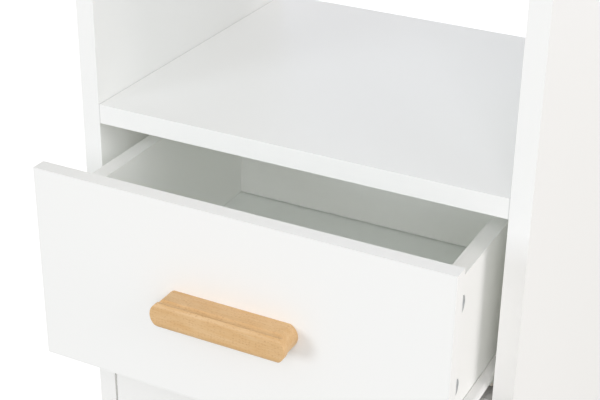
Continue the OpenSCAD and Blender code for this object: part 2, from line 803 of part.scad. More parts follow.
module leaf_screws(x_face, toward, zs) {
    color(zinc) for (z = zs) translate([0, 0, z])
        leaf_screw_places(x_face, toward) translate([0, 0, running])
            sunk_screw(hinge_screw_r - running, hinge_screw_len - over, hinge_head_r, leaf_t);
}
// A steel plate on the back of a door, facing the catch's magnet
module strike(z) {
    color(zinc) block([catch_x - strike_w / 2, front_y + board, z - catch_h + 1],
        [catch_x + strike_w / 2, front_y + board + strike_t, z - catch_seat]);
}

lower_pull_z = lower_hi - pull_from_end;
upper_pull_z = upper_lo + pull_from_end;
module lower_door() door(lower_lo, lower_hi, lower_pull_z);
module lower_pull() on_door(lower_pull_z) pull();
module lower_pull_screws() on_door(lower_pull_z) pull_screw_pair(board);
module lower_strike() strike(divider_z);
module upper_door() door(upper_lo, upper_hi, upper_pull_z);
module upper_pull() on_door(upper_pull_z) pull();
module upper_pull_screws() on_door(upper_pull_z) pull_screw_pair(board);
module upper_strike() strike(top_z);

side_panel(-1);  // left_panel
side_panel(1);  // right_panel
bottom_panel();
drawer_divider();
open_shelf();
upper_floor();
top_panel();
plinth();
lower_back();
upper_back();
lower_shelf();
upper_shelf();
shelf_pins();
floor_glides();
carcass_cams();
carcass_bolts();
carcass_dowels();
back_screws();
wall_brackets();
fitting_screws();
catch_housings();
catch_magnets();
on_side(-1) cabinet_rail();  // left_cabinet_rail
on_side(1) cabinet_rail();  // right_cabinet_rail
cabinet_rail_screws();
on_side(-1) drawer_rail();  // left_drawer_rail
on_side(1) drawer_rail();  // right_drawer_rail
drawer_rail_screws();
on_side(-1) front_roller();  // left_front_roller
on_side(1) front_roller();  // right_front_roller
on_side(-1) rear_roller();  // left_rear_roller
on_side(1) rear_roller();  // right_rear_roller
drawer_front();
on_side(-1) drawer_side();  // drawer_left_side
on_side(1) drawer_side();  // drawer_right_side
drawer_back();
drawer_floor();
drawer_pull();
drawer_pull_screws();
drawer_cams();
drawer_bolts();
drawer_back_screws();
lower_door();
lower_pull();
lower_pull_screws();
frame_leaves(lower_lo, lower_hi);  // lower_frame_leaves
door_leaves(lower_lo, lower_hi);  // lower_door_leaves
hinge_pins(lower_lo, lower_hi);  // lower_hinge_pins
leaf_screws(-half_w + gap - leaf_t, 1, door_hinge_zs(lower_lo, lower_hi));  // lower_hinge_screws
lower_strike();
upper_door();
upper_pull();
upper_pull_screws();
frame_leaves(upper_lo, upper_hi);  // upper_frame_leaves
door_leaves(upper_lo, upper_hi);  // upper_door_leaves
hinge_pins(upper_lo, upper_hi);  // upper_hinge_pins
leaf_screws(-half_w + gap - leaf_t, 1, door_hinge_zs(upper_lo, upper_hi));  // upper_hinge_screws
upper_strike();
leaf_screws(-half_w + leaf_t, -1, hinge_zs());  // frame_hinge_screws
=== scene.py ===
"""Looks of the bathroom storage tower: its finishes, softened edges, beech pulls, light and camera.

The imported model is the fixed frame. Lengths are metres in its axes: +Z up, the front towards -Y.
"""

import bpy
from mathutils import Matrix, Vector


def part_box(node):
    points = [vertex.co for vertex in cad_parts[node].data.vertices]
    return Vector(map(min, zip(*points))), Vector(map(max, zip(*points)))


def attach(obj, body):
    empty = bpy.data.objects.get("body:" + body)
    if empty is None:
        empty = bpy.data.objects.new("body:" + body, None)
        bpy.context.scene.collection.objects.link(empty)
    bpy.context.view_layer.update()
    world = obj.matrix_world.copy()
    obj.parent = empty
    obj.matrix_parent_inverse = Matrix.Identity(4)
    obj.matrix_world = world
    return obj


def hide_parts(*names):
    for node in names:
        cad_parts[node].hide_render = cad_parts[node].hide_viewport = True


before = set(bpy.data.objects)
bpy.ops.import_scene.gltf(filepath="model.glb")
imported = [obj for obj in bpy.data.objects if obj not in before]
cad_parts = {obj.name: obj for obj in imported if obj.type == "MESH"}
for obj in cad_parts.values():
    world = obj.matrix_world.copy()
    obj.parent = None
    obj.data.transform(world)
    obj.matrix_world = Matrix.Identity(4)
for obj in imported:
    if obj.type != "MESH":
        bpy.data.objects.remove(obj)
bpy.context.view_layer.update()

import logging
import math
from dataclasses import dataclass
from enum import Enum
from typing import Any, Union

import bmesh
import bpy
from mathutils import Matrix, Vector

log = logging.getLogger("tower")
MM = 0.001
FADE = 0.1 * MM  # the distance over which one finish gives way to the next
Triple = tuple[float, float, float]
Box = tuple[Vector, Vector]


class Grain(Enum):
    """The direction that a wooden piece's grain runs in, as the turn that brings X to it."""

    ACROSS = (0.0, 0.0, 0.0)
    UPRIGHT = (0.0, math.pi / 2, 0.0)


class RawFace(Enum):
    """The face of a hardboard sheet that is left unpainted, as the number of the axis and its side."""

    REAR = (1, 1)
    UNDER = (2, -1)


# ---- Shader expressions ----


@dataclass(frozen=True)
class Signal:
    """A value that varies over a surface, on which Python's operators make Math nodes.

    Attributes:
        shader: the shader whose tree holds the socket.
        socket: the output socket that carries the value.
    """

    shader: "Shader"
    socket: bpy.types.NodeSocket

    def __add__(self, other: "Value") -> "Signal":
        """Self plus other."""
        return self.shader.math("ADD", self, other)

    def __radd__(self, other: "Value") -> "Signal":
        """Other plus self."""
        return self.shader.math("ADD", other, self)

    def __sub__(self, other: "Value") -> "Signal":
        """Self minus other."""
        return self.shader.math("SUBTRACT", self, other)

    def __rsub__(self, other: "Value") -> "Signal":
        """Other minus self."""
        return self.shader.math("SUBTRACT", other, self)

    def __mul__(self, other: "Value") -> "Signal":
        """Self times other."""
        return self.shader.math("MULTIPLY", self, other)

    def __rmul__(self, other: "Value") -> "Signal":
        """Other times self."""
        return self.shader.math("MULTIPLY", other, self)

    def __abs__(self) -> "Signal":
        """Self without its sign."""
        return self.shader.math("ABSOLUTE", self)

    def least(self, other: "Value") -> "Signal":
        """The smaller of self and other."""
        return self.shader.math("MINIMUM", self, other)

    def step(self, low: float, high: float) -> "Signal":
        """A smooth rise from 0 at low to 1 at high, or a fall where low is above high.

        Args:
            low: the value at which the result is 0.
            high: the value at which the result is 1.

        Returns:
            A signal from 0 to 1.
        """
        settings = {"interpolation_type": "SMOOTHSTEP"}
        ends = {"Value": self, "From Min": low, "From Max": high}
        return self.shader.node("ShaderNodeMapRange", settings, ends)


Value = Union[Signal, float, Triple]


class Shader:
    """A material's node tree, built by expressions that end in one Principled surface."""

    def __init__(self, name: str) -> None:
        """Starts an empty tree.

        Args:
            name: the material's name.
        """
        self.material = bpy.data.materials.new(name)
        self.material.use_nodes = True
        self.tree = self.material.node_tree
        self.tree.nodes.clear()

    def node(self, kind: str, settings: dict[str, Any], inputs: dict[Any, Value],
             output: Any = 0) -> Signal:
        """Adds a node: first its settings, then the values and links of its sockets.

        Args:
            kind: the node's type.
            settings: its properties, and under "stops" the places and colours of a ramp.
            inputs: a value or a signal for each socket that is named or numbered.
            output: the output socket to return.

        Returns:
            The chosen output, as a signal.
        """
        made = self.tree.nodes.new(kind)
        for key, value in settings.items():
            if key == "stops":
                ramp = made.color_ramp
                for index, (place, colour) in enumerate(value):
                    stop = ramp.elements[index] if index < 2 else ramp.elements.new(place)
                    stop.position, stop.color = place, (*colour, 1.0)
            else:
                setattr(made, key, value)
        for key, value in inputs.items():
            socket = made.inputs[key]
            if isinstance(value, Signal):
                self.tree.links.new(value.socket, socket)
            elif isinstance(value, tuple) and len(socket.default_value) == 4:
                socket.default_value = (*value, 1.0)
            else:
                socket.default_value = value
        return Signal(self, made.outputs[output])

    def math(self, operation: str, *values: Value) -> Signal:
        """A Math node on one or two values."""
        return self.node("ShaderNodeMath", {"operation": operation}, dict(enumerate(values)))

    def vector(self, operation: str, *values: Value) -> Signal:
        """A Vector Math node on one or two vectors."""
        return self.node("ShaderNodeVectorMath", {"operation": operation}, dict(enumerate(values)))

    def point(self, centre: Triple = (0.0, 0.0, 0.0), turn: Triple = (0.0, 0.0, 0.0),
              scale: Triple = (1.0, 1.0, 1.0)) -> Signal:
        """The place on the surface, as seen from a centre.

        Args:
            centre: the point that becomes the origin.
            turn: the angles by which the pattern's axes are turned.
            scale: the lengths that become one unit along each axis.

        Returns:
            The place, as a vector.
        """
        place = self.node("ShaderNodeTexCoord", {}, {}, "Object")
        inputs = {"Vector": place, "Location": tuple(centre), "Rotation": turn, "Scale": scale}
        return self.node("ShaderNodeMapping", {"vector_type": "TEXTURE"}, inputs)

    def parts(self, vector: Signal) -> tuple[Signal, Signal, Signal]:
        """The three coordinates of a vector."""
        split = self.node("ShaderNodeSeparateXYZ", {}, {0: vector}).socket.node
        return tuple(Signal(self, out) for out in split.outputs)

    def noise(self, at: Signal, scale: float, detail: float = 2.0, rough: float = 0.5) -> Signal:
        """Soft random cloud from 0 to 1, with about scale blotches a unit."""
        inputs = {"Vector": at, "Scale": scale, "Detail": detail, "Roughness": rough}
        return self.node("ShaderNodeTexNoise", {}, inputs)

    def cells(self, at: Signal, scale: float, output: str = "Distance") -> Signal:
        """Random cells: the distance to the nearest centre, or the cell's own colour."""
        return self.node("ShaderNodeTexVoronoi", {}, {"Vector": at, "Scale": scale}, output)

    def blend(self, share: Value, first: Value, second: Value) -> Signal:
        """A colour between first, where share is 0, and second, where it is 1."""
        return self.node("ShaderNodeMix", {"data_type": "RGBA"}, {0: share, 6: first, 7: second}, 2)

    def relief(self, height: Signal, depth: float) -> Signal:
        """The normal of a surface whose relief is height, from 0 to 1, times depth."""
        return self.node("ShaderNodeBump", {}, {"Height": height, "Distance": depth, "Strength": 1.0})

    def surface(self, **sockets: Value) -> bpy.types.Material:
        """Ends the tree in a Principled surface.

        Args:
            **sockets: the surface's values, with _ for the space in a socket's name.

        Returns:
            The finished material.
        """
        inputs = {key.replace("_", " "): value for key, value in sockets.items()}
        skin = self.node("ShaderNodeBsdfPrincipled", {}, inputs)
        self.node_end(skin)
        return self.material

    def node_end(self, skin: Signal) -> None:
        """Links a surface to the material's output."""
        end = self.tree.nodes.new("ShaderNodeOutputMaterial")
        self.tree.links.new(skin.socket, end.inputs["Surface"])


# ---- Finishes ----


@dataclass(frozen=True)
class Melamine:
    """White melamine board with thin edge bands, and bare chipboard where it is bored or grooved.

    Attributes:
        white: colour of the face.
        chips: colours of the core's chips, from the darkest to the palest.
        seam: distance of the glue line from the edge.
        seam_half: half of the glue line's width.
        skin: thickness of the face and the bands, under which the core shows.
        joint: how dark the painted shade line is along the board's ends, where they meet another board and
            the joint's groove would lie in shade.
        joint_shade_width: width of that painted shade line.
        slot: the record's material slot.
    """

    white: Triple = (0.945, 0.950, 0.930)
    chips: tuple[Triple, ...] = ((0.20, 0.125, 0.06), (0.47, 0.32, 0.17), (0.66, 0.50, 0.31))
    seam: float = 0.75 * MM
    seam_half: float = 0.14 * MM
    skin: float = 0.5 * MM
    # strength and width of the painted shade line along the board's ends; 0.0 leaves it out
    joint: float = 0.0
    joint_shade_width: float = 1.0 * MM
    slot: str = "board_white"

    def material(self, name: str, box: Box) -> bpy.types.Material:
        """Makes the finish for one board.

        Args:
            name: the board's name.
            box: the board's lowest and highest corners.

        Returns:
            The board's material.
        """
        sh = Shader(f"melamine_{name}")
        low, high = box
        at = sh.point(tuple((low + high) / 2))
        under = sh.parts(sh.vector("SUBTRACT", tuple((high - low) / 2), sh.vector("ABSOLUTE", at)))
        thin = min(range(3), key=lambda axis: high[axis] - low[axis])
        broad = [under[axis] for axis in range(3) if axis != thin]
        rim = broad[0].least(broad[1])
        core = rim.least(under[thin]).step(self.skin, self.skin + FADE)
        line = abs(rim - self.seam).step(self.seam_half, self.seam_half - FADE)
        line = line * under[thin].step(2.0 * FADE, 0.5 * FADE)
        cloud = sh.noise(at, 9.0, 3.0)
        long = max(range(3), key=lambda axis: high[axis] - low[axis])
        # painted shade: darker in a band along the ends of the long axis, standing in for the shade in the
        # joint with the next board
        joint_shade_band = under[long].step(self.joint_shade_width, 0.3 * self.joint_shade_width)
        tone = 1.0 - 0.012 * cloud - 0.10 * line - self.joint * joint_shade_band
        face = sh.blend(tone, (0.0, 0.0, 0.0), self.white)
        grit = sh.cells(at, 620.0)
        chip = sh.cells(at, 380.0, "Color")
        shade = sh.parts(chip)[0]
        raw = sh.node("ShaderNodeValToRGB", {"stops": list(zip((0.0, 0.45, 1.0), self.chips))}, {0: shade})
        pearl = sh.noise(at, 1100.0, 1.0)
        normal = sh.relief(pearl * (1.0 - core) * 0.35 + grit * core * 3.0, 0.04 * MM)
        rough = 0.36 + 0.10 * sh.noise(at, 160.0, 2.0) + 0.45 * core
        return sh.surface(Base_Color=sh.blend(core, face, raw), Roughness=rough, Normal=normal,
                          IOR=1.5, Specular_IOR_Level=0.5)


@dataclass(frozen=True)
class Hardboard:
    """Thin hardboard: one face painted white, the other bare brown with a fine mesh pressed in.

    Attributes:
        bare: the face that is left unpainted.
        white: colour of the painted face.
        dull: colour that the paint drifts to.
        fibres: the darkest and the palest colour of the bare face.
        paint: thickness of the paint.
        pitch: distance between the mesh's wires.
        slot: the record's material slot.
    """

    bare: RawFace
    white: Triple = (0.90, 0.925, 0.905)
    dull: Triple = (0.70, 0.70, 0.68)
    fibres: tuple[Triple, Triple] = ((0.215, 0.125, 0.062), (0.40, 0.26, 0.145))
    paint: float = 0.15 * MM
    pitch: float = 1.4 * MM
    slot: str = "hardboard_white"

    def material(self, name: str, box: Box) -> bpy.types.Material:
        """Makes the finish for one sheet.

        Args:
            name: the sheet's name.
            box: the sheet's lowest and highest corners.

        Returns:
            The sheet's material.
        """
        sh = Shader(f"hardboard_{name}")
        low, high = box
        axis, side = self.bare.value
        at = sh.point(tuple((low + high) / 2))
        along = sh.parts(at)
        painted = -(high[axis] - low[axis]) / 2
        bare = (along[axis] * side).step(painted + self.paint, painted + 2.0 * self.paint)
        wires = [along[i] for i in range(3) if i != axis]
        turn = 2.0 * math.pi / self.pitch
        mesh = sh.math("SINE", wires[0] * turn) * sh.math("SINE", wires[1] * turn)
        fibre = sh.noise(at, 700.0, 4.0, 0.65)
        brown = sh.blend(fibre, *self.fibres)
        cloud = sh.noise(at, 12.0, 3.0)
        paint = sh.blend(cloud * 0.03, self.white, self.dull)
        normal = sh.relief(bare * (0.5 + 0.35 * mesh + 0.3 * fibre) + 0.12 * sh.noise(at, 900.0), 0.12 * MM)
        rough = 0.42 + 0.10 * sh.noise(at, 90.0) + 0.32 * bare
        return sh.surface(Base_Color=sh.blend(bare, paint, brown), Roughness=rough, Normal=normal)


@dataclass(frozen=True)
class Beech:
    """Solid beech under clear satin lacquer, with growth bands, pores and short ray flecks.

    Attributes:
        grain: the direction of the grain.
        pale: colour of the early wood.
        deep: colour of the late wood.
        fleck: colour of the rays.
        gloss: weight of the lacquer.
        drift: lengths of the slow changes of colour, along the grain and across it.
        pore: lengths of the pores, along the grain and across it.
        ray: lengths of the cells that a ray fleck lies in, along the grain and across it.
        year: width of a growth band.
        pith: how far the tree's middle lies behind and above the piece's own.
        slot: the record's material slot.
    """

    grain: Grain = Grain.ACROSS
    pale: Triple = (0.770, 0.520, 0.268)
    deep: Triple = (0.690, 0.420, 0.178)
    fleck: Triple = (0.46, 0.215, 0.075)
    gloss: float = 0.18
    drift: Triple = (26.0 * MM, 5.0 * MM, 4.0 * MM)
    pore: Triple = (8.0 * MM, 0.30 * MM, 0.30 * MM)
    ray: Triple = (2.4 * MM, 0.55 * MM, 0.50 * MM)
    year: float = 1.35 * MM
    pith: tuple[float, float] = (24.0 * MM, -31.0 * MM)
    slot: str = "beech"

    def material(self, name: str, box: Box) -> bpy.types.Material:
        """Makes the finish for one piece.

        Args:
            name: the piece's name.
            box: the piece's lowest and highest corners.

        Returns:
            The piece's material.
        """
        sh = Shader(f"beech_{name}")
        middle = tuple((box[0] + box[1]) / 2)
        turn = self.grain.value
        cloud = sh.noise(sh.point(middle, turn, self.drift), 1.0, 3.0)
        pith = (middle[0], middle[1] + self.pith[0], middle[2] + self.pith[1])
        years = sh.node("ShaderNodeVectorMath", {"operation": "LENGTH"},
                        {0: sh.point(pith, turn, (1.0, self.year, self.year))}, "Value")
        rings = 0.5 + 0.5 * sh.math("SINE", 2.0 * math.pi * years + 5.0 * cloud)
        pores = sh.noise(sh.point(middle, turn, self.pore), 1.0, 1.0)
        ray_at = sh.point(middle, turn, self.ray)
        rays = sh.cells(ray_at, 1.0).step(0.42, 0.16)
        rays = rays * sh.parts(sh.cells(ray_at, 1.0, "Color"))[0].step(0.30, 0.60)
        wood = sh.blend(0.70 * cloud.step(0.30, 0.70) + 0.22 * rings, self.pale, self.deep)
        wood = sh.blend(pores.step(0.50, 0.75) * 0.30, wood, self.deep)
        wood = sh.blend(rays * 0.60, wood, self.fleck)
        normal = sh.relief(pores * 0.5 - 0.3 * rays, 0.03 * MM)
        rough = 0.52 + 0.10 * cloud - 0.08 * rays
        return sh.surface(Base_Color=wood, Roughness=rough, Normal=normal, Coat_Weight=self.gloss,
                          Coat_Roughness=0.35)


@dataclass(frozen=True)
class DowelWood:
    """A plain wooden dowel, sanded and unfinished, with its grain along X.

    Attributes:
        pale: colour of the early wood.
        deep: colour of the late wood.
        fibre: lengths of the fibres along the three axes.
        slot: the record's material slot.
    """

    pale: Triple = (0.70, 0.50, 0.29)
    deep: Triple = (0.52, 0.34, 0.17)
    fibre: Triple = (5.0 * MM, 0.4 * MM, 0.4 * MM)
    slot: str = "dowel_wood"

    def material(self, name: str, box: Box) -> bpy.types.Material:
        """Makes the finish for the dowels.

        Args:
            name: the piece's name.
            box: the piece's lowest and highest corners, which it doesn't need.

        Returns:
            The dowels' material.
        """
        sh = Shader(f"dowel_{name}")
        fibres = sh.noise(sh.point(scale=self.fibre), 1.0, 3.0)
        colour = sh.blend(fibres.step(0.3, 0.7), self.pale, self.deep)
        rough = 0.6 + 0.2 * fibres
        return sh.surface(Base_Color=colour, Roughness=rough, Normal=sh.relief(fibres, 0.05 * MM))


@dataclass(frozen=True)
class Moulded:
    """A moulded or sprayed finish: a plain colour with the fine skin that its making leaves.

    Attributes:
        slot: the record's material slot.
        colour: colour of the finish.
        rough: roughness of the finish.
        peel: size of the skin's ripples.
        depth: depth of the ripples.
        soft: share of the light that passes under the skin, as in nylon.
    """

    slot: str
    colour: Triple
    rough: float
    peel: float
    depth: float
    soft: float = 0.0

    def material(self, name: str, box: Box) -> bpy.types.Material:
        """Makes the finish for one piece.

        Args:
            name: the piece's name.
            box: the piece's lowest and highest corners.

        Returns:
            The piece's material.
        """
        sh = Shader(f"{self.slot}_{name}")
        at = sh.point(tuple((box[0] + box[1]) / 2))
        ripple = sh.noise(at, 1.0 / self.peel, 1.0)
        cloud = sh.noise(at, 35.0, 2.0)
        dull = tuple(0.88 * c for c in self.colour)
        colour = sh.blend(0.35 * cloud, self.colour, dull)
        rough = self.rough + 0.14 * (cloud - 0.5) + 0.06 * ripple
        return sh.surface(Base_Color=colour, Roughness=rough, Normal=sh.relief(ripple, self.depth),
                          Subsurface_Weight=self.soft, Subsurface_Scale=0.8 * MM)


@dataclass(frozen=True)
class Plated:
    """Plated steel: bright zinc or satin nickel, with brushing, cloudiness and a faint tint.

    Attributes:
        slot: the record's material slot.
        colour: colour of the plating.
        tint: colour that the plating drifts to.
        rough: roughness of the plating.
        brush: lengths along the three axes that the brushing is drawn out to.
    """

    slot: str
    colour: Triple
    tint: Triple
    rough: float
    brush: Triple

    def material(self, name: str, box: Box) -> bpy.types.Material:
        """Makes the finish for one piece.

        Args:
            name: the piece's name.
            box: the piece's lowest and highest corners, which it doesn't need.

        Returns:
            The piece's material.
        """
        sh = Shader(f"{self.slot}_{name}")
        hairs = sh.noise(sh.point(scale=self.brush), 1.0, 3.0, 0.6)
        cloud = sh.noise(sh.point(), 260.0, 2.0)
        colour = sh.blend(cloud.step(0.35, 0.7), self.colour, self.tint)
        rough = self.rough + 0.16 * (hairs - 0.5) + 0.10 * (cloud - 0.5)
        return sh.surface(Base_Color=colour, Roughness=rough, Metallic=1.0,
                          Normal=sh.relief(hairs, 0.02 * MM))


EPOXY = Moulded("rail_white", (0.86, 0.86, 0.845), 0.34, 1.6 * MM, 0.05 * MM)
NYLON = Moulded("nylon", (0.84, 0.84, 0.80), 0.40, 0.9 * MM, 0.03 * MM, 0.25)
PLASTIC = Moulded("white_plastic", (0.87, 0.87, 0.86), 0.45, 0.35 * MM, 0.02 * MM)
ZINC = Plated("zinc", (0.66, 0.67, 0.69), (0.60, 0.62, 0.62), 0.30, (0.4 * MM, 0.4 * MM, 0.4 * MM))
CAST_ZINC = Plated("zinc", (0.62, 0.64, 0.66), (0.50, 0.52, 0.55), 0.40, (0.5 * MM, 0.5 * MM, 0.5 * MM))
NICKEL = Plated("nickel", (0.72, 0.70, 0.66), (0.67, 0.65, 0.60), 0.28, (0.3 * MM, 0.3 * MM, 6.0 * MM))
Finish = Union[Melamine, Hardboard, Beech, DowelWood, Moulded, Plated]


# ---- Pieces ----


@dataclass(frozen=True)
class RoundOver:
    """The small rounding that a made piece has along its edges.

    Attributes:
        width: how far the rounding reaches from the edge.
        segments: number of facets across it.
        least: the smallest angle between two faces that counts as an edge.
        weld: distance within which a mesh's loose corners are joined.
    """

    width: float
    segments: int = 2
    least: float = math.radians(35.0)
    weld: float = 0.002 * MM

    def apply(self, piece: bpy.types.Object) -> None:
        """Adds the modifiers that round a piece's edges.

        Args:
            piece: the piece, whose mesh stays as it is.
        """
        weld = piece.modifiers.new("weld", "WELD")
        weld.merge_threshold = self.weld
        bevel = piece.modifiers.new("round_over", "BEVEL")
        bevel.width, bevel.segments = self.width, self.segments
        bevel.limit_method, bevel.angle_limit = "ANGLE", self.least
        bevel.use_clamp_overlap = True
        even = piece.modifiers.new("even_faces", "WEIGHTED_NORMAL")
        even.keep_sharp = False


BOARD_EDGE = RoundOver(0.6 * MM, 3)
SHEET_EDGE = RoundOver(0.25 * MM)
STEEL_EDGE = RoundOver(0.35 * MM)
MOULD_EDGE = RoundOver(0.5 * MM, 3)
FINE_EDGE = RoundOver(0.15 * MM, 1)


def dress(node: str, finish: Finish, edge: Union[RoundOver, None] = None) -> None:
    """Gives a CAD node its finish and the rounding of its edges.

    Args:
        node: the node's name.
        finish: what it is finished in.
        edge: how its edges are rounded, or None where they stay as they are.
    """
    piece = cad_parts[node]
    piece.data.materials.clear()
    piece.data.materials.append(finish.material(node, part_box(node)))
    if edge is not None:
        edge.apply(piece)
    log.info("dressed %s in %s", node, finish.slot)


@dataclass(frozen=True)
class Ring:
    """One cross-section of a pull, a bar with round ends whose long sides may be cut lower.

    Attributes:
        depth: distance from the front that the pull is screwed to.
        half: half of its height between the long sides.
        radius: radius of its round ends.
        reach: half of its length.
    """

    depth: float
    half: float
    radius: float
    reach: float

    def outline(self, steps: int) -> list[Triple]:
        """Finds the points round the section.

        Args:
            steps: number of chords in each round end.

        Returns:
            The points in order, the right end's first.
        """
        turn = math.asin(min(1.0, self.half / self.radius))
        bend = [turn * (2.0 * step / steps - 1.0) for step in range(steps + 1)]
        radius, straight = self.radius, self.reach - self.radius
        return [(side * (straight + radius * math.cos(angle)), -self.depth, side * radius * math.sin(angle))
                for side in (1.0, -1.0) for angle in bend]


@dataclass
class Pull:
    """A beech pull: a neck, a slightly higher nose rounded along its long sides, and a cove between.

    Attributes:
        node: the CAD node it stands for.
        body: the body it rides on.
        centre: the middle of its back, where it meets the front.
        grain: the direction it lies in.
        length: its overall length.
        height: its height across the nose.
        out: how far it stands out.
        nose_r: radius of the rounding along the nose's long sides.
        neck_half: half of the neck's height.
        neck_short: how far the nose reaches past the neck at each end.
        neck_out: where the neck ends and the nose begins.
        cove_r: radius of the cove.
        cove_floor: distance of the cove's floor from the middle.
        ease: rounding of the rim at the nose's ends.
        back_ease: rounding of the neck's back edge.
        steps: number of chords in each round end.
        cove_steps: number of chords in each half of the cove.
        nose_steps: number of chords in the rounding along the nose.
        crease: the smallest angle between two faces that shows as an edge.
    """

    node: str
    body: str
    centre: Triple
    grain: Grain
    length: float = 103.4 * MM
    height: float = 20.4 * MM
    out: float = 21.6 * MM
    nose_r: float = 4.2 * MM
    neck_half: float = 9.1 * MM
    neck_short: float = 1.1 * MM
    neck_out: float = 16.6 * MM
    cove_r: float = 4.0 * MM
    cove_floor: float = 7.9 * MM
    ease: float = 0.6 * MM
    back_ease: float = 0.15 * MM
    steps: int = 40
    cove_steps: int = 8
    nose_steps: int = 12
    crease: float = math.radians(30.0)

    def build(self) -> None:
        """Makes the pull, puts it in place and dresses it."""
        bm = bmesh.new()
        self.loft(bm, self.neck() + self.nose())
        bmesh.ops.remove_doubles(bm, verts=bm.verts, dist=1e-7)
        bmesh.ops.recalc_face_normals(bm, faces=bm.faces)
        turn = Matrix.Rotation(self.grain.value[1], 4, "Y")
        bmesh.ops.transform(bm, matrix=Matrix.Translation(self.centre) @ turn, verts=bm.verts)
        mesh = bpy.data.meshes.new(self.node)
        bm.to_mesh(mesh)
        bm.free()
        mesh.shade_smooth()
        mesh.set_sharp_from_angle(angle=self.crease)
        for face in mesh.polygons:
            face.use_smooth = len(face.vertices) == 4
        piece = bpy.data.objects.new(f"{self.node}_wood", mesh)
        bpy.context.scene.collection.objects.link(piece)
        finish = Beech(self.grain)
        corners = [Vector(point) for point in piece.bound_box]
        mesh.materials.append(finish.material(self.node, (corners[0], corners[6])))
        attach(piece, self.body)
        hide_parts(self.node)
        log.info("built %s with %d faces", piece.name, len(mesh.polygons))

    def cove(self, depth: float) -> float:
        """The height above the middle to which the cove leaves the wood at a depth."""
        across = abs(depth - self.neck_out)
        if across >= self.cove_r:
            return self.height
        return self.cove_floor + self.cove_r - math.sqrt(self.cove_r**2 - across**2)

    def cove_reaches(self, half: float) -> list[float]:
        """Spaces out the cove's sections, from its floor to where it leaves the wood.

        Args:
            half: half of the height of the wood that the cove runs out of.

        Returns:
            Their distances from the cove's floor.
        """
        turn = math.acos((self.cove_r - (half - self.cove_floor)) / self.cove_r)
        return [self.cove_r * math.sin(turn * step / self.cove_steps) for step in range(self.cove_steps + 1)]

    def neck(self) -> list[Ring]:
        """Lays out the neck's sections, from its eased back to the cove's floor."""
        soft, half = self.back_ease, self.neck_half
        radius, reach = self.height / 2, self.length / 2 - self.neck_short
        depths = [soft, *(self.neck_out - back for back in reversed(self.cove_reaches(half)))]
        rings = [Ring(0.0, half - soft, radius - soft, reach - soft)]
        return rings + [Ring(depth, min(half, self.cove(depth)), radius, reach) for depth in depths]

    def nose(self) -> list[Ring]:
        """Lays out the nose's sections, from the cove's floor to the flat of its front."""
        radius = self.height / 2
        quarter = [math.pi / 2 * step / self.nose_steps for step in range(self.nose_steps + 1)]
        depths = {self.neck_out + ahead for ahead in self.cove_reaches(radius)}
        depths |= {self.out - self.nose_r * (1.0 - math.sin(angle)) for angle in quarter}
        depths |= {self.out - self.ease * (1.0 - math.sin(angle)) for angle in quarter[::3]}
        rings = []
        for depth in sorted(depths):
            ahead = self.out - depth
            bend = max(0.0, self.nose_r - ahead)
            half = radius - self.nose_r + math.sqrt(self.nose_r**2 - bend**2)
            rim = max(0.0, self.ease - ahead)
            eased = self.ease - math.sqrt(self.ease**2 - rim**2)
            rings.append(Ring(depth, min(half, self.cove(depth)), radius - eased, self.length / 2 - eased))
        return rings

    def loft(self, bm: bmesh.types.BMesh, rings: list[Ring]) -> None:
        """Draws a face out through all the sections, from the back to the front.

        Args:
            bm: the empty mesh to build in.
            rings: the sections in order.
        """
        loop = bmesh.ops.create_circle(bm, cap_ends=True, segments=2 * (self.steps + 1), radius=1.0)["verts"]
        face = bm.faces[:]
        for index, ring in enumerate(rings):
            if index:
                made = bmesh.ops.extrude_face_region(bm, geom=face)["geom"]
                face = [item for item in made if isinstance(item, bmesh.types.BMFace)]
                fresh = {item for item in made if isinstance(item, bmesh.types.BMVert)}
                ahead = {vert: edge.other_vert(vert) for vert in loop for edge in vert.link_edges
                         if edge.other_vert(vert) in fresh}
                loop = [ahead[vert] for vert in loop]
            for vert, point in zip(loop, ring.outline(self.steps)):
                vert.co = point


@dataclass
class Carcass:
    """The side panels, cross boards, plinth, backs, loose shelves and what joins them.

    Attributes:
        boards: the nodes in white board whose ends are free.
        cross_boards: the nodes in white board whose ends meet the side panels.
        backs: the nodes in hardboard.
        steel: the nodes in plated steel.
        joint: how dark the painted shade line is where a cross board meets a side panel.
    """

    boards: tuple[str, ...] = ("left_panel", "right_panel", "lower_shelf", "upper_shelf")
    cross_boards: tuple[str, ...] = ("bottom_panel", "drawer_divider", "open_shelf", "upper_floor",
                                     "top_panel", "plinth")
    backs: tuple[str, ...] = ("lower_back", "upper_back")
    steel: tuple[str, ...] = ("carcass_bolts", "back_screws", "frame_hinge_screws")
    # strength of the painted shade line at the cross boards' ends
    joint: float = 0.25

    def build(self) -> None:
        """Dresses the carcass's nodes."""
        for node in self.boards:
            dress(node, Melamine(), BOARD_EDGE)
        for node in self.cross_boards:
            # these boards get a painted shade line along their ends, where they meet the side panels
            dress(node, Melamine(joint=self.joint), BOARD_EDGE)
        for node in self.backs:
            dress(node, Hardboard(RawFace.REAR), SHEET_EDGE)
        dress("carcass_dowels", DowelWood())
        for node in ("shelf_pins", "floor_glides"):
            dress(node, PLASTIC, MOULD_EDGE)
        dress("carcass_cams", CAST_ZINC, FINE_EDGE)
        for node in self.steel:
            dress(node, ZINC, FINE_EDGE)


@dataclass
class Fittings:
    """The wall brackets and the magnetic catches, with their screws.

    Attributes:
        steel: the nodes in plated steel.
    """

    steel: tuple[str, ...] = ("wall_brackets", "fitting_screws", "catch_magnets")

    def build(self) -> None:
        """Dresses the fittings' nodes."""
        dress("catch_housings", PLASTIC, MOULD_EDGE)
        for node in self.steel:
            dress(node, ZINC, FINE_EDGE)


